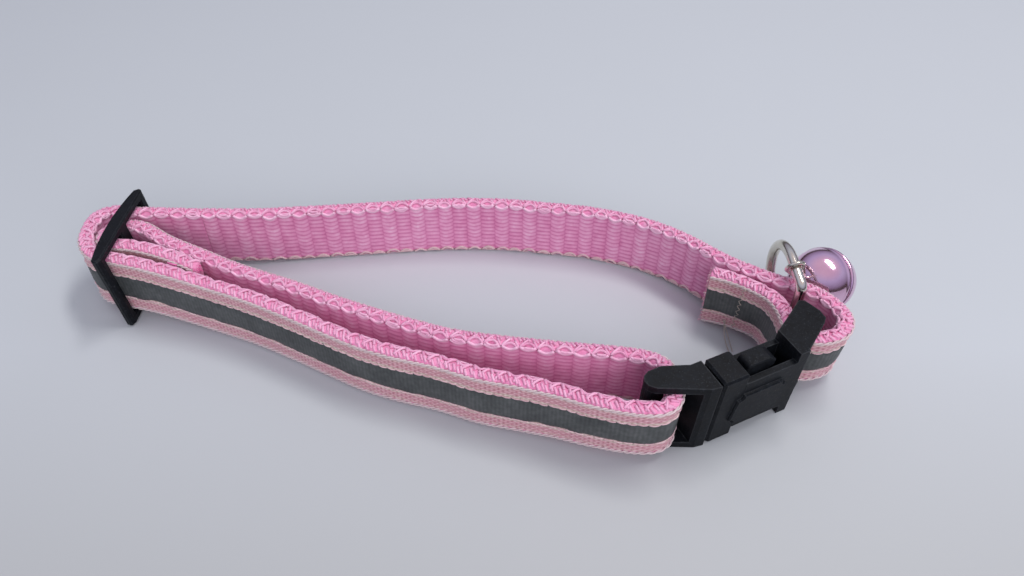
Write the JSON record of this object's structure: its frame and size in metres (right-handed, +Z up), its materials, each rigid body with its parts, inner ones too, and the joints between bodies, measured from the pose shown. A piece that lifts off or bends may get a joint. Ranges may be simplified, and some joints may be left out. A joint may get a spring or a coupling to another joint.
{
  "type": "adjustable cat collar",
  "caption": "Narrow pink webbing collar for a cat or small dog, with a side-release buckle, a reflective stripe, a slider, a D-ring and a jingle bell, standing on its edge.",
  "frame": {"origin": "bottom centre of the bounding box, on the surface the collar stands on", "axes": "+Z up across the webbing's width, +X from the slider towards the buckle and bell, +Y from the buckle's side towards the back of the loop"},
  "size_m": [0.1176, 0.0462, 0.016],
  "materials": {
    "webbing": "woven nylon webbing, pink",
    "reflective_tape": "woven grey reflective stripe, satin",
    "acetal": "black moulded acetal, fine grain",
    "ring_steel": "bright nickel plate",
    "bell_metal": "pink anodised mirror metal",
    "thread": "hot pink sewing thread"
  },
  "bodies": {
    "female_side": {"webbing_back": "webbing", "reflective_stripe_back": "reflective_tape", "bartack_tail_seam": "thread", "buckle_female": "acetal"},
    "male_side": {"webbing_front": "webbing", "reflective_stripe_front": "reflective_tape", "bartack_slider_seam": "thread", "buckle_male": "acetal"},
    "prong_upper": {"buckle_prong_upper": "acetal"},
    "prong_lower": {"buckle_prong_lower": "acetal"},
    "slider": {"triglide_slider": "acetal"},
    "d_ring": {"d_ring": "ring_steel"},
    "bell": {"bell_shell_loop_side": "bell_metal", "bell_shell_slot_side": "bell_metal", "bell_loop": "ring_steel"},
    "bell_ball": {"bell_clapper_ball": "ring_steel"}
  },
  "joints": [
    {"name": "buckle_release", "type": "slide", "parent": "female_side", "child": "male_side", "axis": [-0.8988, -0.4384, 0], "range_m": [0, 0.0115], "deforming": ["buckle_prong_upper", "buckle_prong_lower"]},
    {"name": "prong_squeeze_upper", "type": "hinge", "parent": "male_side", "child": "prong_upper", "pos_m": [0.03342, -0.01757, 0.01059], "axis": [-0.4376, 0.8972, 0.0593], "range_deg": [0, 14]},
    {"name": "prong_squeeze_lower", "type": "hinge", "parent": "male_side", "child": "prong_lower", "pos_m": [0.03321, -0.01713, 0.00241], "axis": [0.4376, -0.8972, -0.0593], "range_deg": [0, 14]},
    {"name": "slider_adjust", "type": "slide", "parent": "male_side", "child": "slider", "axis": [1, 0, 0], "range_m": [0, 0.001]},
    {"name": "d_ring_swing", "type": "hinge", "parent": "female_side", "child": "d_ring", "pos_m": [0.04839, -0.00163, 0.00066], "axis": [-0.0767, -0.1392, 0.9873], "range_deg": [-20, 4]},
    {"name": "bell_swing", "type": "hinge", "parent": "d_ring", "child": "bell", "pos_m": [0.04723, 0.00007, 0.01438], "axis": [0.0353, -0.99, -0.1368], "range_deg": [-5, 45]},
    {"name": "bell_ball_rattle", "type": "slide", "parent": "bell", "child": "bell_ball", "axis": [-0.6335, -0.4433, 0.6342], "range_m": [-0.0018, 0.0018]}
  ],
  "couplings": [
    {"joint": "prong_squeeze_lower", "follows": "prong_squeeze_upper", "ratio": 1}
  ]
}
